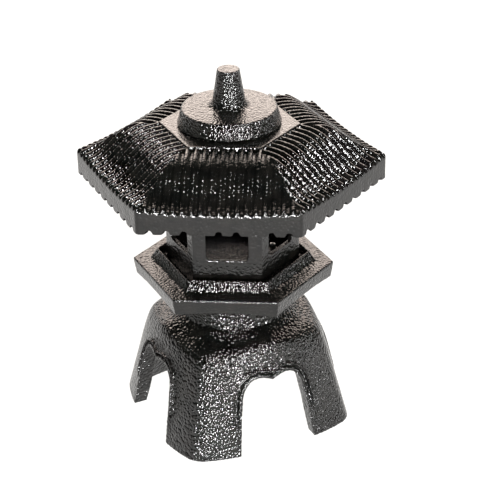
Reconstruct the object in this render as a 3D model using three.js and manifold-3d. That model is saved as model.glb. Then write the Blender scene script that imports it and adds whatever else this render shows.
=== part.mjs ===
// Cast-iron garden lantern in the Japanese style: a four-legged arched base, a hexagonal platform, a hexagonal
// light chamber with six windows, a ribbed pagoda roof that lifts off, and a turned finial on top of it.
// Millimetres, +Z up. The origin lies on the ground, on the vertical axis that every piece is centred on.
// The hexagons have corners on the X axis and flats that face -Y and +Y. The base has arches facing X and Y.

import * as THREE from 'three';
import { mergeVertices } from 'three/addons/utils/BufferGeometryUtils.js';
import Module from 'manifold-3d';

const wasm = await Module();
wasm.setup();

// ---------------------------------------------------------------- driving dimensions
const FIT_GAP = 0.3;            // clear space left between pieces that rest on each other
const ROUND_SEGMENTS = 28;      // facets of a turned piece
const HEX_FLAT = Math.cos(Math.PI / 6); // apothem of a hexagon over its corner radius

const BASE = {
  wall: 4.6,
  neckRadius: 36,
  neckTop: 95.7,
  neckPlate: 5,
  columns: 64,
  // outer shape from the ground to the top of the neck: [distance, height] at mid-side and at a corner
  middle: [[66, 0], [62.6, 20], [59, 38], [57, 47], [54.7, 57], [52.6, 65.5], [50.4, 70], [47.2, 71.8], [42, 73.2],
    [36.4, 76.5]],
  corner: [[80.8, 0], [75.2, 18], [69.3, 37], [65.9, 48], [62.8, 57], [60.2, 62.6], [56.6, 66.4], [51.5, 68.9],
    [44, 71.4], [37.2, 76.5]],
  // wall at each of those points: thick legs that thin out over the shoulders
  walls: [9.5, 9.5, 9.2, 8.2, 6.6, 5.4, 4.8, 4.6, 4.6, 4.6],
  cornerSoftness: 4,            // degrees over which a corner is rounded
};
const ARCH = {
  footHalfWidth: 26.2,
  jamb: [23.3, 25],             // sideways distance and height where the jambs get steeper
  spring: [21.5, 35],           // and where the arch's head begins
  lobeHeight: 49.8,
  lobeOffset: 9.5,              // sideways distance of a lobe's top from the arch's middle
  cuspHeight: 46.9,
};
const PLATFORM = {
  bottom: 96,
  top: 108,
  bottomRadius: 63.7,
  topRadius: 66.3,
  skirt: 4.5,
  recessDepth: 7,
  curbFootRadius: 53.8,
  curbOuterRadius: 49.8,
  curbInnerRadius: 48.6,
  curbGrooveRadius: 47.6,
  curbHeight: 7,
};
const CHAMBER = {
  bottom: PLATFORM.top + FIT_GAP,
  top: 198,
  outerRadius: 43.4,
  wall: 3.6,
  floor: 3,
  windowWidth: 26,
  windowSill: 126,
  windowHead: 182,
  windowCorner: 2.6,
};
const ROOF = {
  seat: CHAMBER.top + FIT_GAP,  // flat underside that rests on the chamber's rim
  eaveRadius: 98,
  plateRadius: 44.4,
  plateTop: 204.2,
  wall: 4,
  ribsPerSide: 18,
  ribDepth: 1.7,
  cornerLift: 2.6,
  liftStart: 66,
  hemHeight: 167.4,             // lowest edge of the fascia's scallops
  scallopDepth: 2.7,
  scallopWidth: 4.4,
  scallopPitch: 10.44,
  scallopsPerSide: 9,
  // rib crest line at mid-side, from the top plate to the eave: [distance from the axis, height]
  crest: [[45.5, 203.4], [52, 202.3], [59, 199], [66.5, 193.2], [72.7, 188], [78, 184.6], [82.3, 183.2]],
  eaveEdgeHeight: 179.6,        // top of the fascia at mid-side
};
const LUG = { count: 3, width: 12, thickness: 4, drop: 10, clearance: 0.8 };
const FINIAL = { bottom: ROOF.plateTop + FIT_GAP, boltDepth: 13.3 };
const SCREW = { radius: 2, headRadius: 4, headHeight: 2.7, length: 30.7, holeRadius: 2.4, offset: 26, nutHeight: 3.2 };
const SPOTFACE = { radius: 5.2, depth: 0.6 };   // machined seats in the chamber's floor under the nuts' washers
const BOLT = { radius: 2.5, headFlats: 8, headHeight: 3.5, length: 20, holeRadius: 2.9 };
const WASHER = { small: 4.5, large: 7, thickness: 0.8 };

// ---------------------------------------------------------------- materials
const enamel = (name) => new THREE.MeshStandardMaterial({ name, color: 0x141314, roughness: 0.32, metalness: 0.3 });
const zinc = (name) => new THREE.MeshStandardMaterial({ name, color: 0x9a9c9e, roughness: 0.35, metalness: 1 });

// ---------------------------------------------------------------- general shape helpers
function toManifold(geometry) {
  const bare = geometry.clone();
  bare.deleteAttribute('normal');
  bare.deleteAttribute('uv');
  const merged = mergeVertices(bare, 1e-4);
  const vertProperties = new Float32Array(merged.attributes.position.array);
  const triVerts = new Uint32Array(merged.index.array);
  return new wasm.Manifold(new wasm.Mesh({ numProp: 3, vertProperties, triVerts }));
}

function toGeometry(solid) {
  const mesh = solid.getMesh();
  const geometry = new THREE.BufferGeometry();
  geometry.setAttribute('position', new THREE.BufferAttribute(new Float32Array(mesh.vertProperties), 3));
  geometry.setIndex(new THREE.BufferAttribute(new Uint32Array(mesh.triVerts), 1));
  const faceted = geometry.toNonIndexed();
  faceted.computeVertexNormals();
  return faceted;
}

// Geometry from a list of triangles, each a list of three points; triangles without area are dropped.
function fromTriangles(triangles) {
  const kept = triangles.filter(([a, b, c]) => {
    const normal = b.clone().sub(a).cross(c.clone().sub(a));
    return normal.length() > 1e-6;
  });
  const geometry = new THREE.BufferGeometry();
  const positions = kept.flat().flatMap((p) => [p.x, p.y, p.z]);
  geometry.setAttribute('position', new THREE.Float32BufferAttribute(positions, 3));
  geometry.computeVertexNormals();
  return geometry;
}

// Solid skin through rings of equally many points; a ring drawn to one point closes an end.
function loft(rings, wraps = false) {
  const triangles = [];
  const pairs = wraps ? rings.length : rings.length - 1;
  for (let j = 0; j < pairs; j += 1) {
    const lower = rings[j];
    const upper = rings[(j + 1) % rings.length];
    for (let i = 0; i < lower.length; i += 1) {
      const n = (i + 1) % lower.length;
      triangles.push([lower[i], lower[n], upper[n]]);
      triangles.push([lower[i], upper[n], upper[i]]);
    }
  }
  return toManifold(fromTriangles(triangles));
}

function ring(count, radiusAt, heightAt) {
  return Array.from({ length: count }, (_, i) => {
    const angle = (2 * Math.PI * i) / count;
    const radius = radiusAt(angle);
    return new THREE.Vector3(radius * Math.cos(angle), radius * Math.sin(angle), heightAt(angle));
  });
}

// Hexagonal solid from a profile of [corner radius, height], ordered from its lower to its upper end on the axis.
function hexSolid(profile) {
  return loft(profile.map(([radius, height]) => ring(6, () => radius, () => height)));
}

function turned(profile) {
  const points = profile.map(([radius, height]) => new THREE.Vector2(radius, height));
  const geometry = new THREE.LatheGeometry(points, ROUND_SEGMENTS);
  geometry.rotateX(Math.PI / 2);
  return toManifold(geometry);
}

function rod(radius, bottom, top) {
  return turned([[0, bottom], [radius, bottom], [radius, top], [0, top]]);
}

// Prism of an outline drawn in (sideways, height), pushed through along the direction of an angle about the axis.
function cutThrough(shape, angle, near, far) {
  const geometry = new THREE.ExtrudeGeometry(shape, { depth: far - near, bevelEnabled: false, curveSegments: 6 });
  geometry.translate(0, 0, near);
  geometry.rotateX(Math.PI / 2);
  geometry.rotateZ(angle + Math.PI / 2);
  return toManifold(geometry);
}

function subtractAll(solid, cutters) {
  return cutters.reduce((left, cutter) => left.subtract(cutter), solid);
}

function part(name, solid, material) {
  const mesh = new THREE.Mesh(toGeometry(solid), material(`${name}_material`));
  mesh.name = name;
  return mesh;
}

const degrees = (value) => (value * Math.PI) / 180;
const smooth = (value) => {
  const x = Math.min(1, Math.max(0, value));
  return x * x * (3 - 2 * x);
};

// Places of the two assembly screws, on opposite corners of the chamber.
const screwPlaces = [60, 240].map((angle) => [
  SCREW.offset * Math.cos(degrees(angle)),
  SCREW.offset * Math.sin(degrees(angle)),
]);
const atScrews = (radius, bottom, top) => screwPlaces.map(([x, y]) => rod(radius, bottom, top).translate([x, y, 0]));
const screwHoles = (bottom, top) => atScrews(SCREW.holeRadius, bottom, top);

// ---------------------------------------------------------------- base
// Radius of a four-sided outline with bulging sides, from its mid-side and corner distances.
function bulgedSquare(middle, corner, angle) {
  const quarter = Math.PI / 2;
  const fromSide = Math.abs(angle - Math.round(angle / quarter) * quarter);
  const softness = degrees(BASE.cornerSoftness);
  const toCorner = Math.PI / 4 - fromSide;
  const folded = Math.PI / 4 - Math.sqrt(toCorner * toCorner + softness * softness * (1 - smooth(toCorner / 0.5)));
  const half = corner / Math.SQRT2;
  const bulge = Math.max(middle - half, 1e-6);
  const sideRadius = (half * half + bulge * bulge) / (2 * bulge);
  const inset = sideRadius - middle;
  const along = -inset * Math.cos(folded);
  return along + Math.sqrt(along * along + sideRadius * sideRadius - inset * inset);
}

function baseRing([middle, middleHeight], [corner, cornerHeight]) {
  const cornerShare = (angle) => smooth(Math.abs(Math.sin(2 * angle)));
  return ring(
    BASE.columns,
    (angle) => bulgedSquare(middle, corner, angle),
    (angle) => middleHeight + (cornerHeight - middleHeight) * cornerShare(angle),
  );
}

// Line of [distance, height] points, each moved inwards by its own wall, square to the line.
function insetLine(line, walls) {
  return line.map(([distance, height], i) => {
    const wall = walls[i];
    const before = line[Math.max(0, i - 1)];
    const after = line[Math.min(line.length - 1, i + 1)];
    const run = new THREE.Vector2(after[0] - before[0], after[1] - before[1]).normalize();
    return [distance - wall * run.y, i === 0 ? height : height + wall * run.x];
  });
}

function archOutline() {
  const shape = new THREE.Shape();
  const { footHalfWidth, jamb, spring, lobeHeight, lobeOffset, cuspHeight } = ARCH;
  const shoulder = [spring[0] - 0.9, lobeHeight - 5];
  const crown = [lobeOffset + 5.7, lobeHeight + 0.2];
  const dip = [lobeOffset - 5, lobeHeight - 0.3];
  shape.moveTo(-footHalfWidth, -1);
  shape.lineTo(footHalfWidth, -1);
  shape.lineTo(footHalfWidth, 0);
  shape.lineTo(jamb[0], jamb[1]);
  shape.lineTo(spring[0], spring[1]);
  shape.bezierCurveTo(...shoulder, ...crown, lobeOffset, lobeHeight);
  shape.quadraticCurveTo(...dip, 0, cuspHeight);
  shape.quadraticCurveTo(-dip[0], dip[1], -lobeOffset, lobeHeight);
  shape.bezierCurveTo(-crown[0], crown[1], -shoulder[0], shoulder[1], -spring[0], spring[1]);
  shape.lineTo(-jamb[0], jamb[1]);
  shape.lineTo(-footHalfWidth, 0);
  shape.lineTo(-footHalfWidth, -1);
  return shape;
}

function makeBase() {
  const { middle, corner, wall, walls, neckRadius, neckTop, neckPlate } = BASE;
  const neck = [neckRadius, neckTop];
  const outer = middle.map((point, i) => baseRing(point, corner[i]));
  outer.push(baseRing(neck, neck));
  outer.push(baseRing([0, neckTop], [0, neckTop]));
  const innerMiddle = insetLine(middle, walls);
  const innerCorner = insetLine(corner, walls.map((thickness) => thickness * 1.15));
  const inner = innerMiddle.map((point, i) => baseRing(point, innerCorner[i]));
  const ceiling = neckTop - neckPlate;
  inner.push(baseRing([neckRadius - wall, ceiling], [neckRadius - wall, ceiling]));
  inner.push(baseRing([0, ceiling], [0, ceiling]));
  const shell = loft([...outer, ...inner.reverse()], true);
  const arches = [0, 90].map((angle) => cutThrough(archOutline(), degrees(angle), -90, 90));
  return subtractAll(shell, [...arches, ...screwHoles(ceiling - 1, neckTop + 1)]);
}

// ---------------------------------------------------------------- platform
function makePlatform() {
  const { bottom, top, bottomRadius, topRadius, skirt, recessDepth, curbHeight } = PLATFORM;
  const crest = top + curbHeight;
  const plate = hexSolid([
    [0, bottom], [bottomRadius, bottom], [topRadius - 0.4, top - 1], [topRadius - 1.2, top],
    [PLATFORM.curbFootRadius, top], [PLATFORM.curbOuterRadius, crest], [PLATFORM.curbInnerRadius, crest],
    [PLATFORM.curbGrooveRadius, top], [0, top],
  ]);
  const recessRadius = bottomRadius - skirt / HEX_FLAT;
  const recess = hexSolid([
    [0, bottom - 1], [recessRadius, bottom - 1], [recessRadius, bottom + recessDepth], [0, bottom + recessDepth],
  ]).subtract(rod(BASE.neckRadius, bottom - 2, top));
  return subtractAll(plate, [recess, ...screwHoles(bottom - 1, top + 1)]);
}

// ---------------------------------------------------------------- light chamber
function windowOutline() {
  const { windowWidth, windowSill, windowHead, windowCorner } = CHAMBER;
  const half = windowWidth / 2;
  const shape = new THREE.Shape();
  shape.moveTo(-half + windowCorner, windowSill);
  shape.lineTo(half - windowCorner, windowSill);
  shape.quadraticCurveTo(half, windowSill, half, windowSill + windowCorner);
  shape.lineTo(half, windowHead - windowCorner);
  shape.quadraticCurveTo(half, windowHead, half - windowCorner, windowHead);
  shape.lineTo(-half + windowCorner, windowHead);
  shape.quadraticCurveTo(-half, windowHead, -half, windowHead - windowCorner);
  shape.lineTo(-half, windowSill + windowCorner);
  shape.quadraticCurveTo(-half, windowSill, -half + windowCorner, windowSill);
  return shape;
}

function makeChamber() {
  const { bottom, top, outerRadius, wall, floor } = CHAMBER;
  const innerRadius = outerRadius - wall / HEX_FLAT;
  const box = hexSolid([
    [0, bottom], [outerRadius, bottom], [outerRadius, top], [innerRadius, top],
    [innerRadius, bottom + floor], [0, bottom + floor],
  ]);
  const windows = [30, 90, 150].map((angle) => cutThrough(windowOutline(), degrees(angle), -60, 60));
  const floorTop = bottom + floor;
  const seats = atScrews(SPOTFACE.radius, floorTop - SPOTFACE.depth, floorTop + 1);
  return subtractAll(box, [...windows, ...seats, ...screwHoles(bottom - 1, floorTop + 1)]);
}

// ---------------------------------------------------------------- roof
const eaveApothem = ROOF.eaveRadius * HEX_FLAT;
const eaveSide = ROOF.eaveRadius;
const columnsPerSide = ROOF.ribsPerSide * 2;
const topColumns = 16;          // columns that reach the top plate on each side
const topApothem = (eaveApothem * topColumns) / columnsPerSide;

// Rise of the roof towards a hip, largest at the eave's corners.
function cornerRise(apothem, sideways) {
  const share = sideways / (apothem * Math.tan(Math.PI / 6));
  const outward = smooth((apothem - ROOF.liftStart) / (eaveApothem - ROOF.liftStart));
  return ROOF.cornerLift * share * share * outward;
}

// Points of one roof column, running square to the eave from the top plate or a hip down to the fascia.
function roofColumn(index) {
  const sideways = -eaveSide / 2 + (eaveSide * index) / columnsPerSide;
  const start = Math.max(topApothem, Math.abs(sideways) * Math.sqrt(3));
  const line = [[topApothem, ROOF.crest[0][1]], ...ROOF.crest, [eaveApothem, ROOF.eaveEdgeHeight]];
  const heightAt = (apothem) => {
    const next = Math.max(1, line.findIndex(([distance]) => distance >= apothem - 1e-6));
    const [a, low] = line[next - 1];
    const [b, high] = line[next];
    return low + ((high - low) * (apothem - a)) / (b - a);
  };
  const drop = index % 2 === 0 ? 0 : ROOF.ribDepth;
  const apothems = [start, ...line.map(([distance]) => distance).filter((distance) => distance > start + 0.05)];
  return apothems.map((apothem) => {
    const depth = apothem > eaveApothem - 0.01 ? 0 : drop;
    return { apothem, sideways, height: heightAt(apothem) - depth + cornerRise(apothem, sideways) };
  });
}

// Triangles between two neighbouring columns, walking outwards along whichever is behind.
function stripBetween(left, right, place) {
  const triangles = [];
  let i = 0;
  let j = 0;
  while (i < left.length - 1 || j < right.length - 1) {
    const leftNext = i < left.length - 1 ? left[i + 1].apothem : Infinity;
    const rightNext = j < right.length - 1 ? right[j + 1].apothem : Infinity;
    if (leftNext <= rightNext) {
      triangles.push([place(left[i]), place(left[i + 1]), place(right[j])]);
      i += 1;
    } else {
      triangles.push([place(left[i]), place(right[j + 1]), place(right[j])]);
      j += 1;
    }
  }
  return triangles;
}

// One sixth of the roof's outer skin, with its share of the fascia and of a flat closing face at the hem.
function roofSector(side) {
  const facing = degrees(60 * side + 30);
  const place = ({ apothem, sideways, height }) => new THREE.Vector3(
    apothem * Math.cos(facing) - sideways * Math.sin(facing),
    apothem * Math.sin(facing) + sideways * Math.cos(facing),
    height,
  );
  const columns = Array.from({ length: columnsPerSide + 1 }, (_, index) => roofColumn(index));
  const apex = new THREE.Vector3(0, 0, ROOF.crest[0][1]);
  const foot = new THREE.Vector3(0, 0, ROOF.hemHeight);
  const triangles = [];
  for (let i = 0; i < columnsPerSide; i += 1) {
    const [left, right] = [columns[i], columns[i + 1]];
    triangles.push(...stripBetween(left, right, place));
    const [leftEdge, rightEdge] = [left.at(-1), right.at(-1)];
    const [leftHem, rightHem] = [leftEdge, rightEdge].map((point) => place({ ...point, height: ROOF.hemHeight }));
    triangles.push([place(leftEdge), leftHem, rightHem], [place(leftEdge), rightHem, place(rightEdge)]);
    triangles.push([leftHem, foot, rightHem]);
    if (left[0].apothem === topApothem && right[0].apothem === topApothem) {
      triangles.push([place(left[0]), place(right[0]), apex]);
    }
  }
  return triangles;
}

function roofCavity() {
  const { crest, wall, seat, hemHeight } = ROOF;
  const skirtApothem = eaveApothem - wall;
  const slope = crest.slice(1).map(([distance, height]) => [distance - 2, Math.min(seat, height - wall - 1.2)]);
  const line = [[skirtApothem, hemHeight - 5], [skirtApothem, slope.at(-1)[1] - 0.6], ...slope.reverse()];
  const profile = line.map(([distance, height]) => [distance / HEX_FLAT, height]);
  return hexSolid([[0, hemHeight - 5], ...profile, [profile.at(-1)[0] - 4, seat], [0, seat]]);
}

// Row of round-headed notches that leaves the scalloped lower edge on one side of the fascia.
function scallopNotches(side) {
  const { scallopsPerSide, scallopPitch, scallopWidth, scallopDepth, hemHeight } = ROOF;
  const half = scallopWidth / 2;
  const outlines = Array.from({ length: scallopsPerSide }, (_, index) => {
    const centre = (index - (scallopsPerSide - 1) / 2) * scallopPitch;
    const shape = new THREE.Shape();
    shape.moveTo(centre - half - 1, hemHeight - 1);
    shape.lineTo(centre + half + 1, hemHeight - 1);
    shape.lineTo(centre + half, hemHeight + 0.6);
    shape.quadraticCurveTo(centre + half, hemHeight + scallopDepth, centre, hemHeight + scallopDepth);
    shape.quadraticCurveTo(centre - half, hemHeight + scallopDepth, centre - half, hemHeight + 0.6);
    shape.lineTo(centre - half - 1, hemHeight - 1);
    return shape;
  });
  const depth = 2 * ROOF.wall;
  const geometry = new THREE.ExtrudeGeometry(outlines, { depth, bevelEnabled: false, curveSegments: 3 });
  geometry.translate(0, 0, -eaveApothem - ROOF.wall / 2 - depth / 2);
  geometry.rotateX(Math.PI / 2);
  geometry.rotateZ(degrees(60 * side));
  return toManifold(geometry);
}

// Lugs under the roof that hang just inside the chamber's mouth and keep the roof centred.
function roofLugs() {
  const inside = CHAMBER.outerRadius * HEX_FLAT - CHAMBER.wall - LUG.clearance;
  return Array.from({ length: LUG.count }, (_, index) => {
    const geometry = new THREE.BoxGeometry(LUG.thickness, LUG.width, LUG.drop + 1);
    geometry.translate(inside - LUG.thickness / 2, 0, ROOF.seat + 1 - (LUG.drop + 1) / 2);
    geometry.rotateZ(degrees(30 + (360 * index) / LUG.count));
    return toManifold(geometry);
  });
}

function makeRoof() {
  const { plateRadius, plateTop, seat } = ROOF;
  const skin = toManifold(fromTriangles([0, 1, 2, 3, 4, 5].flatMap(roofSector)));
  const plate = hexSolid([[0, seat], [plateRadius, seat], [plateRadius, plateTop], [0, plateTop]]);
  const notches = [0, 1, 2, 3, 4, 5].map(scallopNotches);
  const boltHole = rod(BOLT.holeRadius, seat - 5, plateTop + 5);
  const shell = subtractAll(skin.add(plate), [roofCavity(), ...notches]);
  return roofLugs().reduce((solid, lug) => solid.add(lug), shell).subtract(boltHole);
}

// ---------------------------------------------------------------- finial and its bolt
function makeFinial() {
  const { bottom, boltDepth } = FINIAL;
  const turning = turned([
    [0, bottom], [32.6, bottom], [32.9, bottom + 1.2], [31.8, bottom + 3.8], [30.9, bottom + 7], [30.4, bottom + 10],
    [29.4, bottom + 10.9], [14.5, bottom + 12], [12, bottom + 13], [10.6, bottom + 15], [10, bottom + 17.5],
    [6.7, bottom + 34.4], [5.8, bottom + 35.2], [0, bottom + 35.5],
  ]);
  return turning.subtract(rod(BOLT.radius + FIT_GAP, bottom - 1, bottom + boltDepth));
}

function hexagonRod(flats, bottom, top) {
  const radius = flats / 2 / HEX_FLAT;
  return hexSolid([[0, bottom], [radius, bottom], [radius, top], [0, top]]);
}

function washer(holeRadius, radius, bottom) {
  const top = bottom + WASHER.thickness;
  return rod(radius, bottom, top).subtract(rod(holeRadius, bottom - 1, top + 1));
}

function finialFixings() {
  const washerBottom = ROOF.seat - FIT_GAP - WASHER.thickness;
  const headTop = washerBottom - FIT_GAP;
  const head = hexagonRod(BOLT.headFlats, headTop - BOLT.headHeight, headTop);
  const shank = rod(BOLT.radius, headTop - 1, headTop + BOLT.length);
  return [
    part('finial_bolt', head.add(shank), zinc),
    part('finial_washer', washer(BOLT.holeRadius, WASHER.large, washerBottom), zinc),
  ];
}

// ---------------------------------------------------------------- screws that hold base, platform and chamber
function screwSet([x, y], number) {
  const ceiling = BASE.neckTop - BASE.neckPlate;
  const lowerWasher = ceiling - FIT_GAP - WASHER.thickness;
  const headTop = lowerWasher - FIT_GAP;
  const headBottom = headTop - SCREW.headHeight;
  const tip = headTop + SCREW.length;
  const screw = turned([
    [0, headBottom], [2.2, headBottom], [3.6, headBottom + 0.7], [SCREW.headRadius, headBottom + 1.6],
    [SCREW.headRadius, headTop], [SCREW.radius, headTop], [SCREW.radius, tip - 1], [1.5, tip - 0.4],
    [0.7, tip - 0.05], [0, tip],
  ]);
  const upperWasher = CHAMBER.bottom + CHAMBER.floor - SPOTFACE.depth + FIT_GAP;
  const nutBottom = upperWasher + WASHER.thickness + FIT_GAP;
  const nut = hexagonRod(7, nutBottom, nutBottom + SCREW.nutHeight)
    .subtract(rod(SCREW.holeRadius, nutBottom - 1, nutBottom + SCREW.nutHeight + 1));
  const pieces = [
    [`assembly_screw_${number}`, screw],
    [`screw_washer_${number}`, washer(SCREW.holeRadius, WASHER.small, lowerWasher)],
    [`nut_washer_${number}`, washer(SCREW.holeRadius, WASHER.small, upperWasher)],
    [`assembly_nut_${number}`, nut],
  ];
  return pieces.map(([name, solid]) => part(name, solid.translate([x, y, 0]), zinc));
}

// ---------------------------------------------------------------- assembly
const lantern = new THREE.Group();
const lowerBody = new THREE.Group();
lowerBody.add(
  part('base', makeBase(), enamel),
  part('platform', makePlatform(), enamel),
  part('light_chamber', makeChamber(), enamel),
);
screwPlaces.forEach((place, index) => lowerBody.add(...screwSet(place, index + 1)));
const roofBody = new THREE.Group();
roofBody.add(part('roof', makeRoof(), enamel), part('finial', makeFinial(), enamel), ...finialFixings());
lantern.add(lowerBody, roofBody);

export default lantern;
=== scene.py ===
"""Looks of a black enamelled cast-iron garden lantern: castings, zinc-plated fixings and a pale studio.

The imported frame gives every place. Lengths in this script are millimetres and turn into metres in Skin.piece.
"""

import math

import bmesh
import bpy
import numpy as np
from mathutils import Matrix, Vector


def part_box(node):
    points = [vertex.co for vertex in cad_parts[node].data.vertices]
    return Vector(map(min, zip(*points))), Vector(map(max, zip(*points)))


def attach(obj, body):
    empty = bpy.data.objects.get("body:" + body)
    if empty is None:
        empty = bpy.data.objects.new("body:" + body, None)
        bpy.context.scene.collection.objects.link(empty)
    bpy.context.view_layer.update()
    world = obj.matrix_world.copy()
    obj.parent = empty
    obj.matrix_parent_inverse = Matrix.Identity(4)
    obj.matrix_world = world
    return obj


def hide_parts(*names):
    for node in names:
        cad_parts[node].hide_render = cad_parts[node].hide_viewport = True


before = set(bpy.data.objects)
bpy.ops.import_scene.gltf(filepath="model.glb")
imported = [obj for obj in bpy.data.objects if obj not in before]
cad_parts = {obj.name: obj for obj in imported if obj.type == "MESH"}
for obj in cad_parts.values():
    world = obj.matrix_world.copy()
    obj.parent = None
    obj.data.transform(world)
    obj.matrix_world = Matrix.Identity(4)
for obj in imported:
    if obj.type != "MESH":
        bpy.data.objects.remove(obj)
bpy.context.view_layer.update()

MM = 0.001
HEX_FLAT = math.cos(math.pi / 6)    # apothem of a hexagon over its corner radius
FIT_GAP = 0.3                       # clear space between pieces that rest on each other


def box_mm(node):
    """Lowest and highest corners of a CAD node in millimetres."""
    low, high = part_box(node)
    return np.array(low) / MM, np.array(high) / MM


# ---------------------------------------------------------------- driving dimensions
base_high = box_mm("base")[1]
platform_low, platform_high = box_mm("platform")
chamber_low, chamber_high = box_mm("light_chamber")
roof_low, roof_high = box_mm("roof")
finial_low, finial_high = box_mm("finial")

NECK_RADIUS, NECK_PLATE, BASE_WALL = 36.0, 5.0, 4.6
# outer shape of the base from the ground to the foot of the neck: distance and height, mid-side and corner
BASE_MIDDLE = [(66, 0), (62.6, 20), (59, 38), (57, 47), (54.7, 57),
               (52.6, 65.5), (50.4, 70), (47.2, 71.8), (42, 73.2), (36.4, 76.5)]
BASE_CORNER = [(80.8, 0), (75.2, 18), (69.3, 37), (65.9, 48), (62.8, 57),
               (60.2, 62.6), (56.6, 66.4), (51.5, 68.9), (44, 71.4), (37.2, 76.5)]
BASE_WALLS = [9.5, 9.5, 9.2, 8.2, 6.6, 5.4, 4.8, 4.6, 4.6, 4.6]    # wall at each of those points
ARCH_FOOT, ARCH_JAMB, ARCH_SPRING = 26.2, (23.3, 25.0), (21.5, 35.0)
LOBE_OFFSET, LOBE_HEIGHT, CUSP_HEIGHT = 9.5, 49.8, 46.9
ARCH_BAND, ARCH_GROOVE, ARCH_LIP = 2.5, 0.9, 0.9    # widths of flat band, groove and lip round an arch
BAND_RAISE, GROOVE_SINK, LIP_RAISE = 0.45, 2.1, 1.5

PLATFORM_BOTTOM_RADIUS, PLATFORM_SKIRT, PLATFORM_RECESS = 63.7, 4.5, 7.0
PLATFORM_ARCH = 1.6                 # rise of the platform's lower edge at mid-side
CURB_FOOT, CURB_OUTER, CURB_INNER, CURB_GROOVE, CURB_HEIGHT = 53.8, 49.8, 48.6, 47.6, 7.0

CHAMBER_WALL, CHAMBER_FLOOR = 3.6, 3.0
WINDOW_WIDTH, WINDOW_SILL, WINDOW_HEAD, WINDOW_CORNER = 26.0, 126.0, 182.0, 2.6

ROOF_WALL, RIBS, RIB_DEPTH, RIB_SAMPLES = 4.0, 18, 1.8, 10
PLATE_COLUMN = 41                   # columns from a side's middle to a corner of the top plate
CORNER_LIFT, LIFT_START = 2.6, 66.0
SCALLOPS, SCALLOP_PITCH, SCALLOP_WIDTH, SCALLOP_DEPTH = 9, 10.44, 4.4, 2.7
ROOF_CREST = [(38, 203.6), (45.5, 203.4), (52, 202.3), (59, 199), (66.5, 193.2), (72.7, 188), (78, 184.6),
              (82.3, 183.2), (86, 182.8)]
FASCIA_TOP, BROW = 179.4, 3.0       # fascia's top edge, and how far in from it the tiles curve over
EAVE_CORNER = 3.0                   # radius of the eave's corners in plan
LUG_COUNT, LUG_WIDTH, LUG_THICKNESS, LUG_DROP, LUG_CLEARANCE = 3, 12.0, 4.0, 10.0, 0.8

FINIAL_BORE, FINIAL_BORE_DEPTH, FILLET_START, FILLET = 2.8, 13.3, 14.2, 3.9
SCREW_OFFSET, SCREW_ANGLES, SCREW_HOLE = 26.0, (60, 240), 2.4
SPOTFACE_RADIUS, SPOTFACE_DEPTH = 5.2, 0.6
BOLT_HOLE = 2.9

# distances between bumps of the uneven cast surfaces
WIDE_BUMPS, MIDDLE_BUMPS, SMALL_BUMPS = 14.0, 9.0, 2.6


# ---------------------------------------------------------------- curves
def smooth(value):
    """Goes from 0 to 1 with level ends."""
    x = np.clip(value, 0.0, 1.0)
    return x * x * (3 - 2 * x)


def along(line, at):
    """Height of a smooth curve through [distance, height] points at the given distances."""
    knots = np.array(line, float)
    x, y = knots[:, 0], knots[:, 1]
    slopes = np.gradient(y, x)
    i = np.clip(np.searchsorted(x, at) - 1, 0, len(x) - 2)
    width = x[i + 1] - x[i]
    t = (at - x[i]) / width
    a, b = (1 + 2 * t) * (1 - t) ** 2, t * (1 - t) ** 2
    c, d = t * t * (3 - 2 * t), t * t * (t - 1)
    return a * y[i] + b * width * slopes[i] + c * y[i + 1] + d * width * slopes[i + 1]


def quadratic(start, control, end, count=8):
    """Points on a curve with one control point, without its first."""
    t = np.linspace(0, 1, count + 1)[1:, None]
    start, control, end = map(np.array, (start, control, end))
    return (1 - t) ** 2 * start + 2 * t * (1 - t) * control + t * t * end


def cubic(start, first, second, end, count=14):
    """Points on a curve with two control points, without its first."""
    t = np.linspace(0, 1, count + 1)[1:, None]
    start, first, second, end = map(np.array, (start, first, second, end))
    return (1 - t) ** 3 * start + 3 * t * (1 - t) ** 2 * first + 3 * t * t * (1 - t) * second + t ** 3 * end


# ---------------------------------------------------------------- building meshes
class Skin:
    """Vertices in millimetres and faces, gathered from grids and stitched rings."""

    def __init__(self):
        self.points = []
        self.faces = []
        self.count = 0

    def add(self, points):
        """Adds an array of points, and gives their numbers in the same layout."""
        flat = np.asarray(points, float).reshape(-1, 3)
        self.points.append(flat)
        numbers = np.arange(self.count, self.count + len(flat)).reshape(np.shape(points)[:-1])
        self.count += len(flat)
        return numbers

    def grid(self, numbers, wrap):
        """Quads between neighbouring rows, closed round each row if wrap is set."""
        left = numbers if wrap else numbers[:, :-1]
        right = np.roll(numbers, -1, axis=1) if wrap else numbers[:, 1:]
        quads = np.stack([left[:-1], right[:-1], right[1:], left[1:]], -1)
        self.faces += quads.reshape(-1, 4).tolist()

    def rings(self, rings):
        """Skin through closed rings of equally many points."""
        numbers = self.add(np.array(rings))
        self.grid(numbers, wrap=True)
        return numbers

    def cap(self, ring):
        self.faces.append(list(ring))

    def stitch(self, first, second):
        """Triangles between two closed rings that go round the axis from the same direction."""
        i = j = 0
        a, b = len(first), len(second)
        while i < a or j < b:
            if j >= b or (i < a and (i + 1) / a <= (j + 1) / b):
                self.faces.append([first[i % a], first[(i + 1) % a], second[j % b]])
                i += 1
            else:
                self.faces.append([first[i % a], second[(j + 1) % b], second[j % b]])
                j += 1

    def piece(self, name, merge=1e-3):
        """Mesh object with coincident points merged and all faces turned outwards."""
        mesh = bpy.data.meshes.new(name)
        mesh.from_pydata((np.concatenate(self.points) * MM).tolist(), [], self.faces)
        work = bmesh.new()
        work.from_mesh(mesh)
        bmesh.ops.remove_doubles(work, verts=work.verts, dist=merge * MM)
        bmesh.ops.recalc_face_normals(work, faces=work.faces)
        work.to_mesh(mesh)
        work.free()
        made = bpy.data.objects.new(name, mesh)
        bpy.context.scene.collection.objects.link(made)
        return made


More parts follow.
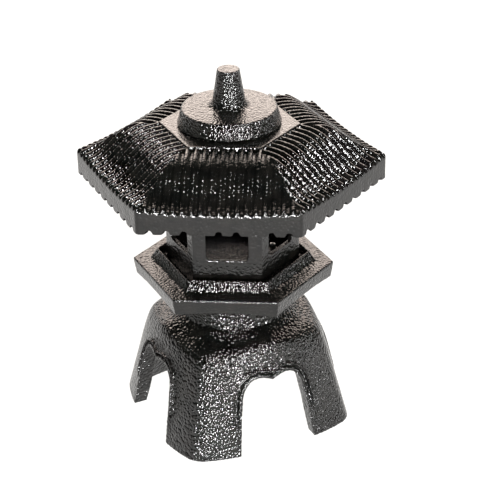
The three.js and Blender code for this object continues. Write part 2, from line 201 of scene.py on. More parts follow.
def circle_ring(radius, height, count, start=0.0):
    angles = start + 2 * np.pi * np.arange(count) / count
    return np.stack([radius * np.cos(angles), radius * np.sin(angles), np.full(count, float(height))], 1)


def hex_ring(radius, height, per_side, rise=0.0):
    """Hexagon with corners on the X axis; rise lifts the middle of each side."""
    t = np.arange(per_side) / per_side
    corners = circle_ring(radius, height, 6)
    sides = [corners[k] + (corners[(k + 1) % 6] - corners[k]) * t[:, None] for k in range(6)]
    points = np.concatenate(sides)
    lift = rise * (1 - (2 * t - 1) ** 2)
    points[:, 2] += np.tile(lift, 6)
    return points


def applied(made):
    """Turns the modifiers of an object into its mesh."""
    graph = bpy.context.evaluated_depsgraph_get()
    mesh = bpy.data.meshes.new_from_object(made.evaluated_get(graph), depsgraph=graph)
    old = made.data
    made.modifiers.clear()
    made.data = mesh
    mesh.name = made.name
    bpy.data.meshes.remove(old)
    return made


def cut(made, cutters):
    """Takes the cutters' shapes out of a piece."""
    for cutter in cutters:
        step = made.modifiers.new("cut", "BOOLEAN")
        step.operation = "DIFFERENCE"
        step.solver = "EXACT"
        step.object = cutter
    applied(made)
    for cutter in cutters:
        bpy.data.objects.remove(cutter)
    return made


def rod(radius, bottom, top, place=(0.0, 0.0), count=36):
    """Plain cylinder used only to cut holes."""
    skin = Skin()
    numbers = skin.rings([circle_ring(radius, bottom, count), circle_ring(radius, top, count)])
    skin.cap(numbers[0])
    skin.cap(numbers[1])
    made = skin.piece("cutter")
    made.data.transform(Matrix.Translation((place[0] * MM, place[1] * MM, 0)))
    return made


def push_through(outline, angle, near, far):
    """Prism of an outline of (sideways, height), run out along the direction of an angle."""
    facing = math.radians(angle)
    out = np.array([math.cos(facing), math.sin(facing), 0.0])
    side = np.array([-math.sin(facing), math.cos(facing), 0.0])
    flat = outline[:, :1] * side + outline[:, 1:] * np.array([0, 0, 1.0])
    skin = Skin()
    numbers = skin.rings([flat + out * near, flat + out * far])
    skin.cap(numbers[0])
    skin.cap(numbers[1])
    return skin.piece("cutter")


def cast(made, voxel, rounds):
    """Gives a sharp solid the softened edges of a sand casting."""
    remesh = made.modifiers.new("cast", "REMESH")
    remesh.mode = "VOXEL"
    remesh.voxel_size = voxel * MM
    remesh.use_smooth_shade = True
    soften = made.modifiers.new("soften", "SMOOTH")
    soften.factor = 0.5
    soften.iterations = rounds
    return applied(made)


def roughen(made, size, depth, seed):
    """Uneven cast surface: moves points inwards by up to depth, with bumps about size apart."""
    texture = bpy.data.textures.new(f"{made.name}_{seed}", "CLOUDS")
    texture.noise_scale = size * MM
    texture.noise_depth = 2
    texture.noise_basis = "ORIGINAL_PERLIN"
    uneven = made.modifiers.new("uneven", "DISPLACE")
    uneven.texture = texture
    uneven.texture_coords = "LOCAL"
    uneven.strength = depth * MM
    uneven.mid_level = 1.0
    return made


def finished(made, body, nodes, material):
    """Shades a piece, gives it its material, parents it to its body's empty and hides the CAD nodes it stands
    for.
    """
    applied(made)
    made.data.shade_smooth()
    made.data.materials.clear()
    made.data.materials.append(material)
    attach(made, body)
    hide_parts(*nodes)
    return made


# ---------------------------------------------------------------- enamel and zinc
class Nodes:
    """Short way to build one material's node tree."""

    def __init__(self, name):
        self.material = bpy.data.materials.new(name)
        self.material.use_nodes = True
        self.tree = self.material.node_tree
        self.shader = self.tree.nodes["Principled BSDF"]
        self.coordinates = self.add("ShaderNodeTexCoord").outputs["Object"]

    def add(self, kind, **settings):
        node = self.tree.nodes.new(kind)
        for key, value in settings.items():
            setattr(node, key, value)
        return node

    def link(self, source, target):
        self.tree.links.new(source, target)

    def noise(self, size, detail=2.0, roughness=0.5, distortion=0.0):
        """Noise with features about size millimetres apart."""
        node = self.add("ShaderNodeTexNoise")
        node.inputs["Scale"].default_value = 1 / (size * MM)
        node.inputs["Detail"].default_value = detail
        node.inputs["Roughness"].default_value = roughness
        node.inputs["Distortion"].default_value = distortion
        self.link(self.coordinates, node.inputs["Vector"])
        return node.outputs["Fac"]

    def pebbles(self, size):
        """Distance from the middles of grains about size millimetres across."""
        node = self.add("ShaderNodeTexVoronoi", feature="SMOOTH_F1")
        node.inputs["Scale"].default_value = 1 / (size * MM)
        node.inputs["Smoothness"].default_value = 0.12
        self.link(self.coordinates, node.inputs["Vector"])
        return node.outputs["Distance"]

    def math(self, operation, first, second):
        node = self.add("ShaderNodeMath", operation=operation)
        for socket, value in zip(node.inputs, (first, second)):
            if isinstance(value, (int, float)):
                socket.default_value = value
            else:
                self.link(value, socket)
        return node.outputs[0]

    def spread(self, value, low, high, to_low, to_high):
        """Maps a range of values onto another, held at its ends."""
        node = self.add("ShaderNodeMapRange")
        for key, number in zip(("From Min", "From Max", "To Min", "To Max"), (low, high, to_low, to_high)):
            node.inputs[key].default_value = number
        self.link(value, node.inputs["Value"])
        return node.outputs["Result"]

    def blend(self, share, first, second):
        """Mixes two colours, each a tuple or a socket."""
        node = self.add("ShaderNodeMix", data_type="RGBA")
        self.link(share, node.inputs["Factor"])
        for socket, value in zip((node.inputs[6], node.inputs[7]), (first, second)):
            if isinstance(value, tuple):
                socket.default_value = (*value, 1.0)
            else:
                self.link(value, socket)
        return node.outputs[2]

    def bump(self, height_mm):
        node = self.add("ShaderNodeBump")
        node.inputs["Strength"].default_value = 1.0
        node.inputs["Distance"].default_value = MM
        self.link(height_mm, node.inputs["Height"])
        self.link(node.outputs["Normal"], self.shader.inputs["Normal"])


ENAMEL_BLACK = (0.0011, 0.0011, 0.0010)
ENAMEL_BROWN = (0.0034, 0.0030, 0.0026)
IRON_EDGE = (0.024, 0.021, 0.019)


def enamel(name, grain, depth, sides=1.0, top=0.5):
    """Glossy, slightly worn black enamel over cast iron with domed grains of the given size and depth.

    The grain's depth is multiplied by sides on upright faces and by top on level ones.
    """
    nodes = Nodes(name)
    dome = nodes.pebbles(grain)
    domes = nodes.math("MULTIPLY", nodes.math("MULTIPLY", dome, dome), depth)
    coarse = nodes.math("MULTIPLY", nodes.noise(grain * 1.2, 1.5, 0.5), depth * 0.3)
    fine = nodes.math("MULTIPLY", nodes.noise(grain * 0.3, 0.0), depth * 0.025)
    height = nodes.math("SUBTRACT", nodes.math("ADD", coarse, fine), domes)
    split = nodes.add("ShaderNodeSeparateXYZ")
    nodes.link(nodes.add("ShaderNodeNewGeometry").outputs["True Normal"], split.inputs[0])
    level = nodes.math("ABSOLUTE", split.outputs["Z"], 0.0)
    upright = nodes.spread(level, 0.12, 0.4, sides, 1.0)
    flat = nodes.spread(level, 0.93, 0.985, 1.0, top)
    nodes.bump(nodes.math("MULTIPLY", height, nodes.math("MULTIPLY", upright, flat)))
    stain = nodes.spread(nodes.noise(9.0, 3.0, 0.6), 0.38, 0.66, 0.0, 1.0)
    colour = nodes.blend(stain, ENAMEL_BLACK, ENAMEL_BROWN)
    point = nodes.add("ShaderNodeNewGeometry").outputs["Pointiness"]
    worn = nodes.math("MULTIPLY", nodes.spread(point, 0.54, 0.62, 0.0, 1.0),
                      nodes.spread(nodes.noise(2.2, 3.0, 0.7), 0.5, 0.62, 0.0, 0.8))
    nodes.link(nodes.blend(worn, colour, IRON_EDGE), nodes.shader.inputs["Base Color"])
    gloss = nodes.spread(nodes.noise(3.5, 2.0), 0.3, 0.7, 0.09, 0.16)
    nodes.link(nodes.math("ADD", gloss, nodes.math("MULTIPLY", worn, 0.15)), nodes.shader.inputs["Roughness"])
    nodes.shader.inputs["IOR"].default_value = 1.46
    return nodes.material


def zinc(name):
    """Zinc-plated steel with a faint uneven passivation."""
    nodes = Nodes(name)
    cloud = nodes.spread(nodes.noise(1.6, 3.0, 0.6), 0.35, 0.65, 0.0, 1.0)
    nodes.link(nodes.blend(cloud, (0.56, 0.57, 0.58), (0.42, 0.42, 0.40)), nodes.shader.inputs["Base Color"])
    nodes.link(nodes.spread(nodes.noise(0.7, 2.0), 0.3, 0.7, 0.22, 0.42), nodes.shader.inputs["Roughness"])
    nodes.bump(nodes.math("MULTIPLY", nodes.noise(0.25, 2.0), 0.015))
    nodes.shader.inputs["Metallic"].default_value = 1.0
    return nodes.material


# ---------------------------------------------------------------- roof
EAVE_RADIUS = roof_high[0]
EAVE = EAVE_RADIUS * HEX_FLAT
HEM = roof_low[2]
SEAT = chamber_high[2] + FIT_GAP
PLATE_TOP = roof_high[2]
COLUMNS = RIBS * RIB_SAMPLES
SIDEWAYS = np.linspace(-EAVE_RADIUS / 2, EAVE_RADIUS / 2, COLUMNS + 1)
PLATE = SIDEWAYS[COLUMNS // 2 + PLATE_COLUMN] * math.sqrt(3)


def facing(side, apothem, sideways, height):
    """Points given square to one of the hexagon's sides, in the lantern's frame."""
    turn = math.radians(60 * side + 30)
    x = apothem * math.cos(turn) - sideways * math.sin(turn)
    y = apothem * math.sin(turn) + sideways * math.cos(turn)
    return np.stack(np.broadcast_arrays(x, y, height), -1)


def corner_rise(apothem, sideways):
    """Rise of the roof towards a hip, largest at the eave's corners."""
    share = sideways / (apothem * math.tan(math.pi / 6))
    return CORNER_LIFT * share ** 2 * smooth((apothem - LIFT_START) / (EAVE - LIFT_START))


def rib_profile(sideways):
    """1 on the crest of a rib and 0 in the groove between two ribs."""
    pitch = EAVE_RADIUS / RIBS
    from_crest = np.abs((sideways / pitch + 0.5 * RIBS + 0.5) % 1 - 0.5) * 2
    return np.sqrt(np.clip(1 - (from_crest / 0.66) ** 2, 0, 1))


def tile_height(apothem, sideways):
    """Height of the ribbed tiles."""
    groove = along(ROOF_CREST, apothem) - RIB_DEPTH
    return groove + RIB_DEPTH * rib_profile(sideways) + corner_rise(apothem, sideways)


def scallop(sideways):
    """Height of the fascia's lower edge above its lowest point."""
    half = SCALLOP_WIDTH / 2
    index = np.clip(np.round(sideways / SCALLOP_PITCH), -(SCALLOPS // 2), SCALLOPS // 2)
    off = np.abs(sideways - index * SCALLOP_PITCH)
    notch = SCALLOP_DEPTH * np.clip(1 - (off / half) ** 2.6, 0, 1) ** 0.45
    lobe = 0.45 * np.clip(1 - (off - half) / 1.6, 0, 1) ** 2
    return np.where(off < half, np.maximum(notch, 0.45), lobe)


def roof_rows():
    """Rows of points of one side, from the top plate or a hip over the eave and hem and in underneath."""
    x = SIDEWAYS
    start = np.maximum(PLATE, np.abs(x) * math.sqrt(3))
    turn = np.minimum(BROW, (EAVE - start) * 0.98)
    fascia_top = FASCIA_TOP + corner_rise(EAVE, x)
    places = [start + (EAVE - turn - start) * t for t in np.linspace(0, 1, 46)]
    places += [EAVE - turn * (1 - math.sin(angle)) for angle in np.linspace(0, math.pi / 2, 8)[1:]]
    rows = []
    for apothem in places:
        drop = np.sqrt(1 - np.clip(1 - (EAVE - apothem) / BROW, 0, 1) ** 2)
        rows.append((apothem, x, fascia_top + (tile_height(apothem, x) - fascia_top) * drop))
    edge = HEM + scallop(x)
    for t in np.linspace(0, 1, 16)[1:]:
        rows.append((EAVE, x, fascia_top + (edge + 0.7 - fascia_top) * t))
    inner = EAVE - ROOF_WALL
    for inset, lift in ((0.2, 0.2), (0.7, 0.0), (2.0, 0.0), (3.3, 0.0), (3.8, 0.2), (4.0, 0.7)):
        apothem = EAVE - inset
        rows.append((apothem, x * apothem / EAVE, edge + lift))
    ceiling = under_height(inner)
    for t in np.linspace(0, 1, 10)[1:-1]:
        rows.append((inner, x * inner / EAVE, edge + 0.7 + (ceiling - 1.2 - edge - 0.7) * t))
    for inset, drop in ((0.0, 1.2), (0.35, 0.35), (1.2, 0.0)):
        apothem = inner - inset
        rows.append((apothem, x * apothem / EAVE, under_height(apothem) - drop))
    for apothem in np.linspace(inner - 1.2, 43.5, 24)[1:]:
        rows.append((apothem, x * apothem / EAVE, under_height(apothem)))
    return rows


def under_height(apothem):
    """Underside of the roof, parallel to its crest line, and level where it rests on the chamber."""
    crest = along(ROOF_CREST, np.asarray(apothem, float) + 2.0)
    return np.minimum(SEAT, crest - ROOF_WALL - 1.2)


def plate_rows():
    """Rows of one side of the top plate, from the foot of its riser inwards."""
    x = SIDEWAYS[COLUMNS // 2 - PLATE_COLUMN:COLUMNS // 2 + PLATE_COLUMN + 1]
    foot = tile_height(PLATE, x)
    rows = [(PLATE, x, foot)]
    edge = ((0.0, 0.55), (0.18, 0.16), (0.6, 0.0), (2.0, 0.0), (5.0, 0.0), (9.0, 0.0), (14.0, 0.0))
    for inset, drop in edge:
        apothem = PLATE - inset
        rows.append((apothem, x * apothem / PLATE, PLATE_TOP - drop))
    return rows


def sector_grid(skin, rows):
    """Adds the same rows on all six sides, and gives the numbers of the last row round the axis."""
    last = []
    for side in range(6):
        points = [facing(side, *row) for row in rows]
        numbers = skin.add(np.array(points))
        skin.grid(numbers, wrap=False)
        last.append(numbers[-1][:-1])
    return np.concatenate(last)


def round_corners(made, radius):
    """Rounds the eave's six corners in plan."""
    mesh = made.data
    flat = np.empty(len(mesh.vertices) * 3, np.float32)
    mesh.vertices.foreach_get("co", flat)
    points = flat.reshape(-1, 3).astype(float) / MM
    reach = np.hypot(points[:, 0], points[:, 1])
    off = np.arctan2(points[:, 1], points[:, 0])
    off = np.abs(off - np.round(off / (np.pi / 3)) * np.pi / 3)
    centre = EAVE_RADIUS - radius / HEX_FLAT
    limit = math.atan2(radius / 2, centre + radius * HEX_FLAT)
    sharp = EAVE / np.cos(np.pi / 6 - off)
    soft = centre * np.cos(off) + np.sqrt(np.maximum(radius ** 2 - (centre * np.sin(off)) ** 2, 0))
    share = np.where(off < limit, soft / sharp, 1.0)
    pull = 1 - (1 - share) * smooth((reach - 60) / 30)
    points[:, :2] *= pull[:, None]
    mesh.vertices.foreach_set("co", (points * MM).astype(np.float32).ravel())


def soft_box(skin, low, high, turn, edge=0.8):
    """Box with chamfered edges, turned about the axis."""
    low, high = np.array(low, float), np.array(high, float)
    work = bmesh.new()
    bmesh.ops.create_cube(work, size=1.0)
    for vertex in work.verts:
        vertex.co = Vector(np.where(np.array(vertex.co) > 0, high, low))
    bmesh.ops.bevel(work, geom=work.edges[:], offset=edge, segments=3, affect="EDGES", profile=0.5)
    bmesh.ops.rotate(work, verts=work.verts, matrix=Matrix.Rotation(math.radians(turn), 3, "Z"))
    work.verts.ensure_lookup_table()
    numbers = skin.add(np.array([v.co[:] for v in work.verts]))
    skin.faces += [[int(numbers[v.index]) for v in f.verts] for f in work.faces]
    work.free()


def make_roof():
    skin = Skin()
    under = sector_grid(skin, roof_rows())
    upper = sector_grid(skin, plate_rows())
    seat_rings = skin.rings([circle_ring(r, SEAT, 120) for r in (30, 16, BOLT_HOLE + 0.4, BOLT_HOLE)])
    top_rings = skin.rings([circle_ring(r, PLATE_TOP, 120) for r in (20, 10, BOLT_HOLE + 0.4, BOLT_HOLE)])
    skin.stitch(under, seat_rings[0])
    skin.stitch(upper, top_rings[0])
    skin.stitch(seat_rings[-1], top_rings[-1])
    made = skin.piece("roof_casting")
    round_corners(made, EAVE_CORNER)
    lugs = Skin()
    inside = chamber_high[0] * HEX_FLAT - CHAMBER_WALL - LUG_CLEARANCE
    for index in range(LUG_COUNT):
        soft_box(lugs, (inside - LUG_THICKNESS, -LUG_WIDTH / 2, SEAT - LUG_DROP),
                 (inside, LUG_WIDTH / 2, SEAT + 0.8), 30 + 360 * index / LUG_COUNT)
    joined(made, lugs.piece("lugs"))
    roughen(made, MIDDLE_BUMPS, 0.25, 1)
    roughen(made, SMALL_BUMPS, 0.08, 2)
    coat = enamel("roof_enamel", 1.35, 0.27, sides=0.5, top=0.75)
    return finished(made, "lid", ["roof"], coat)


def joined(made, other):
    """Adds another object's mesh to a piece."""
    work = bmesh.new()
    work.from_mesh(made.data)
    work.from_mesh(other.data)
    work.to_mesh(made.data)
    work.free()
    bpy.data.objects.remove(other)
    return made


# ---------------------------------------------------------------- finial
def arc(centre, radius, first, last, count):
    """Points on a circular arc between two angles in degrees."""
    angles = np.radians(np.linspace(first, last, count))
    return [(centre[0] + radius * math.cos(a), centre[1] + radius * math.sin(a)) for a in angles]


def straight(start, end, step=0.7):
    """Points along a line, without its first."""
    count = max(1, int(math.dist(start, end) / step))
    first, run = np.array(start), np.array(end) - np.array(start)
    return [tuple(first + run * k / count) for k in range(1, count + 1)]


def finial_profile():
    """Disc with a tapering knob, from the disc's lower edge to the knob's top."""
    z, top = finial_low[2], finial_high[2]
    rim, disc = finial_high[0] - 0.1, z + 11.2
    points = [(rim - 1.2, z), (rim - 0.35, z + 0.3), (rim, z + 1.1), (rim - 0.4, z + 2.2)]
    points += straight(points[-1], (rim - 2.6, z + 9.3))
    points += arc((rim - 3.9, z + 9.4), 1.3, 0, 80, 6)
    points += straight(points[-1], (FILLET_START, disc + 0.5))
    points += arc((FILLET_START, disc + 0.5 + FILLET), FILLET, 270, 185, 9)[1:]
    points += straight(points[-1], (7.25, top - 0.95))
    points += arc((6.35, top - 0.95), 0.9, 10, 90, 6)
    points += straight(points[-1], (0.6, top - 0.02))
    return points


def make_finial():
    z = finial_low[2]
    skin = Skin()
    numbers = skin.rings([circle_ring(r, h, 144) for r, h in finial_profile()])
    skin.cap(numbers[-1])
    bore = [(FINIAL_BORE, z), (FINIAL_BORE, z + FINIAL_BORE_DEPTH - 1.2), (0.05, z + FINIAL_BORE_DEPTH)]
    inner = skin.rings([circle_ring(r, h, 144) for r, h in bore])
    skin.cap(inner[-1])
    skin.rings([circle_ring(r, z, 144) for r in (FINIAL_BORE, 8, 16, 24, finial_high[0] - 1.3)])
    made = skin.piece("finial_casting")
    roughen(made, 8.0, 0.2, 1)
    roughen(made, SMALL_BUMPS, 0.16, 2)
    coat = enamel("finial_enamel", 1.6, 0.72, top=0.4)
    return finished(made, "lid", ["finial"], coat)


# ---------------------------------------------------------------- light chamber
def window_outline():
    """Rounded rectangle of a window, sideways and height."""
    half, sill, head, corner = WINDOW_WIDTH / 2, WINDOW_SILL, WINDOW_HEAD, WINDOW_CORNER
    centres = [(half - corner, sill + corner), (half - corner, head - corner),
               (corner - half, head - corner), (corner - half, sill + corner)]
    points = []
    for index, centre in enumerate(centres):
        start = -math.pi / 2 + index * math.pi / 2
        angles = np.linspace(start, start + math.pi / 2, 7)
        points.append(np.stack([centre[0] + corner * np.cos(angles), centre[1] + corner * np.sin(angles)], 1))
    return np.concatenate(points)


def screw_places():
    """Where the two assembly screws stand, seen from above."""
    angles = [math.radians(angle) for angle in SCREW_ANGLES]
    return [(SCREW_OFFSET * math.cos(angle), SCREW_OFFSET * math.sin(angle)) for angle in angles]


def make_chamber():
    bottom, top, radius = chamber_low[2], chamber_high[2], chamber_high[0]
    inner, floor = radius - CHAMBER_WALL / HEX_FLAT, chamber_low[2] + CHAMBER_FLOOR
    skin = Skin()
    numbers = skin.rings([hex_ring(radius, bottom, 4), hex_ring(radius, top, 4), hex_ring(inner, top, 4),
                          hex_ring(inner, floor, 4)])
    skin.cap(numbers[0])
    skin.cap(numbers[-1])
    made = skin.piece("light_chamber_casting")
    cutters = [push_through(window_outline(), angle, -60, 60) for angle in (30, 90, 150)]
    for place in screw_places():
        cutters.append(rod(SCREW_HOLE, bottom - 2, floor + 2, place))
        cutters.append(rod(SPOTFACE_RADIUS, floor - SPOTFACE_DEPTH, floor + 2, place))
    cut(made, cutters)
    cast(made, 0.55, 5)
    roughen(made, MIDDLE_BUMPS, 0.3, 1)
    roughen(made, SMALL_BUMPS, 0.16, 2)
    coat = enamel("chamber_enamel", 1.6, 0.2, top=4.0)
    return finished(made, "stand", ["light_chamber"], coat)


# ---------------------------------------------------------------- platform
def make_platform():
    bottom, crest, top_radius = platform_low[2], platform_high[2], platform_high[0]
    top = crest - CURB_HEIGHT
    inner = PLATFORM_BOTTOM_RADIUS - PLATFORM_SKIRT / HEX_FLAT
    per_side = 24

    def plain(radius, height, rise=0.0):
        return hex_ring(radius, height, per_side, rise)

    def round_ring(radius, height):
        hexagon = hex_ring(1.0, 0.0, per_side)
        reach = np.hypot(hexagon[:, 0], hexagon[:, 1])
        points = hexagon / reach[:, None] * radius
        points[:, 2] = height
        return points

    skin = Skin()
    numbers = skin.rings([
        round_ring(6, top), plain(30, top), plain(CURB_GROOVE, top), plain(CURB_INNER, crest - 0.3),
        plain(CURB_INNER + 0.4, crest), plain(CURB_OUTER - 0.4, crest), plain(CURB_OUTER, crest - 0.4),
        plain(CURB_FOOT, top), plain(top_radius - 1.2, top), plain(top_radius - 0.3, top - 0.8),
        plain((top_radius + PLATFORM_BOTTOM_RADIUS) / 2, (top + bottom) / 2, PLATFORM_ARCH / 2),
        plain(PLATFORM_BOTTOM_RADIUS, bottom, PLATFORM_ARCH), plain(inner, bottom, PLATFORM_ARCH),
        plain(inner, bottom + PLATFORM_RECESS), round_ring(NECK_RADIUS, bottom + PLATFORM_RECESS),
        round_ring(NECK_RADIUS, bottom), round_ring(6, bottom)])
    skin.cap(numbers[0])
    skin.cap(numbers[-1])
    made = skin.piece("platform_casting")
    cut(made, [rod(SCREW_HOLE, bottom - 2, top + 2, place) for place in screw_places()])
    cast(made, 0.6, 5)
    roughen(made, MIDDLE_BUMPS, 0.3, 1)
    roughen(made, SMALL_BUMPS, 0.11, 2)
    coat = enamel("platform_enamel", 1.6, 0.62, sides=0.4, top=0.6)
    return finished(made, "stand", ["platform"], coat)


# ---------------------------------------------------------------- base
def bulged_square(middle, corner, angle):
    """Radius of a four-sided outline with bulging sides, from its mid-side and corner distances."""
    quarter = np.pi / 2
    from_side = np.abs(angle - np.round(angle / quarter) * quarter)
    to_corner = np.pi / 4 - from_side
    softness = math.radians(4)
    folded = np.pi / 4 - np.sqrt(to_corner ** 2 + softness ** 2 * (1 - smooth(to_corner / 0.5)))
    half = corner / math.sqrt(2)
    bulge = max(middle - half, 1e-6)
    side_radius = (half ** 2 + bulge ** 2) / (2 * bulge)
    inset = side_radius - middle
    reach = -inset * np.cos(folded)
    return reach + np.sqrt(reach ** 2 + side_radius ** 2 - inset ** 2)


def base_ring(middle, corner, count=256):
    """Ring of the base through a mid-side point and a corner point."""
    angles = 2 * np.pi * np.arange(count) / count
    radius = bulged_square(middle[0], corner[0], angles)
    height = middle[1] + (corner[1] - middle[1]) * smooth(np.abs(np.sin(2 * angles)))
    return np.stack([radius * np.cos(angles), radius * np.sin(angles), height], 1)


def inset_line(line, walls):
    """A line of points, each moved inwards by its own wall, square to the line."""
    points = np.array(line, float)
    run = np.gradient(points, axis=0)
    run /= np.linalg.norm(run, axis=1)[:, None]
    moved = points + np.array(walls)[:, None] * np.stack([-run[:, 1], run[:, 0]], 1)
    moved[0, 1] = points[0, 1]
    return moved


def arch_outline():
    """One arch from its left foot over the two lobes to its right foot."""
    top = (LOBE_OFFSET, LOBE_HEIGHT)
    half = [np.array([(ARCH_FOOT, 0.0), ARCH_JAMB, ARCH_SPRING])]
    above_spring, beside_top = (ARCH_SPRING[0] - 0.9, LOBE_HEIGHT - 5), (LOBE_OFFSET + 5.7, LOBE_HEIGHT + 0.2)
    half.append(cubic(ARCH_SPRING, above_spring, beside_top, top))
    half.append(quadratic(top, (LOBE_OFFSET - 5, LOBE_HEIGHT - 0.3), (0, CUSP_HEIGHT)))
    right = np.concatenate(half)
    left = right[:-1] * (-1, 1)
    return np.concatenate([left, right[::-1]])


def wave(x):
    """Single soft ridge of height 1 between -1 and 1."""
    return np.cos(np.clip(x, -1, 1) * np.pi / 2) ** 2


def distance_to(outline, points):
    """Shortest distance from each point in the plane to an open line."""
    best = np.full(len(points), 1e9)
    for start, end in zip(outline[:-1], outline[1:]):
        run = end - start
        share = np.clip((points - start) @ run / (run @ run), 0, 1)
        gap = np.linalg.norm(points - start - share[:, None] * run, axis=1)
        best = np.minimum(best, gap)
    return best


def raise_beads(made):
    """Rolls a bead round each arch, with a groove outside it, that fade out down the jambs."""
    mesh = made.data
    count = len(mesh.vertices)
    flat = np.empty(count * 3, np.float32)
    mesh.vertices.foreach_get("co", flat)
    points = flat.reshape(-1, 3).astype(float) / MM
    normals = np.empty(count * 3, np.float32)
    mesh.vertex_normals.foreach_get("vector", normals)
    normals = normals.reshape(-1, 3).astype(float)
    outline = arch_outline()
    for side in range(4):
        turn = side * math.pi / 2
        out = np.array([math.cos(turn), math.sin(turn), 0.0])
        sideways = np.array([-math.sin(turn), math.cos(turn), 0.0])
        near = (normals @ out > 0.3) & (points @ out > 40)
        near &= (np.abs(points @ sideways) < 34) & (points[:, 2] < 60)
        place = np.stack([points[near] @ sideways, points[near, 2]], 1)
        gap = distance_to(outline, place)
        band = BAND_RAISE * smooth(gap / 0.5 + 0.4) * smooth((ARCH_BAND - gap) / 0.5 + 0.5)
        groove = GROOVE_SINK * wave((gap - ARCH_BAND - ARCH_GROOVE) / (1.35 * ARCH_GROOVE))
        lip = LIP_RAISE * wave((gap - ARCH_BAND - 2 * ARCH_GROOVE - ARCH_LIP) / (1.3 * ARCH_LIP))
        fade = smooth((place[:, 1] - 16) / 12)
        low_fade = smooth((place[:, 1] - 4) / 14)
        points[near] += (low_fade * band + fade * (lip - groove))[:, None] * out
    mesh.vertices.foreach_set("co", (points * MM).astype(np.float32).ravel())
    mesh.update()


def make_base():
    neck_top = base_high[2]
    ceiling = neck_top - NECK_PLATE
    steps = np.linspace(0, len(BASE_MIDDLE) - 1, 46)

    def dense(line):
        knots = np.array(line, float)
        index = np.arange(len(knots))
        return np.stack([along(np.stack([index, knots[:, k]], 1), steps) for k in (0, 1)], 1)

    middle, corner = dense(BASE_MIDDLE), dense(BASE_CORNER)
    inner_middle = dense(inset_line(BASE_MIDDLE, BASE_WALLS))
    inner_corner = dense(inset_line(BASE_CORNER, np.array(BASE_WALLS) * 1.15))
    rings = [base_ring(a, b) for a, b in zip(middle, corner)]
    rings += [base_ring((NECK_RADIUS, h), (NECK_RADIUS, h)) for h in (84, 90, neck_top)]
    outer = Skin()
    numbers = outer.rings(rings)
    inner_rings = [base_ring(a, b) for a, b in zip(inner_middle, inner_corner)]
    bore = NECK_RADIUS - BASE_WALL
    inner_rings += [base_ring((bore, h), (bore, h)) for h in (86, ceiling)]
    inner = outer.rings(inner_rings)
    outer.cap(numbers[-1])
    outer.cap(inner[-1])
    rim = np.stack([numbers[0], inner[0]])
    outer.grid(rim, wrap=True)
    made = outer.piece("base_casting")
    arch = np.concatenate([arch_outline(), [(ARCH_FOOT, -2), (-ARCH_FOOT, -2)]])
    cutters = [push_through(arch, angle, -95, 95) for angle in (0, 90)]
    cutters += [rod(SCREW_HOLE, ceiling - 2, neck_top + 2, place) for place in screw_places()]
    cut(made, cutters)
    cast(made, 0.6, 3)
    raise_beads(made)
    roughen(made, WIDE_BUMPS, 0.25, 1)
    roughen(made, SMALL_BUMPS, 0.11, 2)
    coat = enamel("base_enamel", 2.0, 0.86)
    return finished(made, "stand", ["base"], coat)


# ---------------------------------------------------------------- studio and camera
def make_floor():
    """Pale lit table top under the lantern."""
    bpy.ops.mesh.primitive_plane_add(size=8.0, location=(0, 0, 0))
    floor = bpy.context.active_object
    floor.name = "studio_floor"
    nodes = Nodes("studio_floor")
    nodes.shader.inputs["Base Color"].default_value = (0.08, 0.08, 0.079, 1)
    nodes.shader.inputs["Roughness"].default_value = 0.9
    nodes.shader.inputs["Emission Color"].default_value = (1, 0.99, 0.97, 1)
    nodes.shader.inputs["Emission Strength"].default_value = 1.0
    floor.data.materials.append(nodes.material)


CAMERA_HEADING, CAMERA_PITCH, CAMERA_ROLL = math.radians(64.8), math.radians(27.71), math.radians(-1.14)
CAMERA_DISTANCE, CAMERA_LENS = 1088.1, 121.0
AIM_ASIDE, AIM_HEIGHT = 11.18, 113.9


def camera_axes():
    """Right, up and back of the camera in the lantern's frame."""
    right = Vector((math.cos(CAMERA_HEADING), math.sin(CAMERA_HEADING), 0))
    level = Vector((-math.sin(CAMERA_HEADING), math.cos(CAMERA_HEADING), 0))
    forward = level * math.cos(CAMERA_PITCH) - Vector((0, 0, 1)) * math.sin(CAMERA_PITCH)
    up = right.cross(forward)
    rolled_right = right * math.cos(CAMERA_ROLL) + up * math.sin(CAMERA_ROLL)
    rolled_up = up * math.cos(CAMERA_ROLL) - right * math.sin(CAMERA_ROLL)
    return right, rolled_right, rolled_up, -forward


def make_camera():
    level_right, right, up, back = camera_axes()
    data = bpy.data.cameras.new("photo_camera")
    data.lens = CAMERA_LENS
    data.sensor_width = 36.0
    data.clip_start, data.clip_end = 0.05, 50
    camera = bpy.data.objects.new("photo_camera", data)
    bpy.context.scene.collection.objects.link(camera)
    aim = level_right * AIM_ASIDE + Vector((0, 0, AIM_HEIGHT))
    place = (aim + back * CAMERA_DISTANCE) * MM
    turn = Matrix((right, up, back)).transposed().to_4x4()
    camera.matrix_world = Matrix.Translation(place) @ turn
    bpy.context.scene.camera = camera


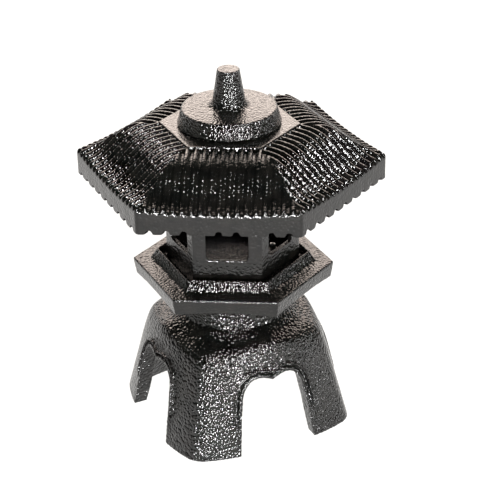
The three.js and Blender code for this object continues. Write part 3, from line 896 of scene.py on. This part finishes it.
def softbox(name, aside, height, width, tall, distance, power, colour=(1, 1, 1)):
    """Rectangular light at an angle to the camera's right and an elevation, aimed at the lantern."""
    heading = CAMERA_HEADING + math.radians(aside)
    lift = math.radians(height)
    back = Vector((math.sin(heading) * math.cos(lift), -math.cos(heading) * math.cos(lift), math.sin(lift)))
    data = bpy.data.lights.new(name, "AREA")
    data.shape = "RECTANGLE"
    data.size, data.size_y = width, tall
    data.energy = power
    data.color = colour
    light = bpy.data.objects.new(name, data)
    light.location = Vector((0, 0, 0.12)) + back * distance
    light.rotation_mode = "QUATERNION"
    light.rotation_quaternion = back.to_track_quat("Z", "Y")
    light.visible_camera = False
    bpy.context.scene.collection.objects.link(light)


def make_world():
    """Pale all round, and dark overhead."""
    world = bpy.data.worlds.new("studio")
    world.use_nodes = True
    tree = world.node_tree
    bpy.context.scene.world = world
    background = tree.nodes["Background"]
    direction = tree.nodes.new("ShaderNodeTexCoord").outputs["Generated"]
    split = tree.nodes.new("ShaderNodeSeparateXYZ")
    tree.links.new(direction, split.inputs[0])
    ramp = tree.nodes.new("ShaderNodeValToRGB")
    ramp.color_ramp.elements[0].position = 0.02
    ramp.color_ramp.elements[0].color = (0.55, 0.53, 0.50, 1)
    ramp.color_ramp.elements[1].position = 0.28
    ramp.color_ramp.elements[1].color = (0.012, 0.012, 0.012, 1)
    tree.links.new(split.outputs["Z"], ramp.inputs["Fac"])
    tree.links.new(ramp.outputs["Color"], background.inputs["Color"])
    background.inputs["Strength"].default_value = 1.0


make_roof()
make_finial()
make_chamber()
make_platform()
make_base()
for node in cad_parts.values():
    if not node.hide_render:
        node.data.materials.clear()
        node.data.materials.append(zinc(node.name + "_zinc"))
make_floor()
make_world()
softbox("back_panel", 180, 30, 1.6, 0.9, 1.3, 25, (1, 0.86, 0.77))
softbox("front_key", 14, 48, 0.24, 0.24, 1.4, 32)
softbox("front_low", 2, 6, 0.24, 0.3, 1.4, 58)
softbox("right_strip", 60, 14, 0.12, 0.3, 1.3, 9)
make_camera()
bpy.context.scene.view_settings.view_transform = "Standard"
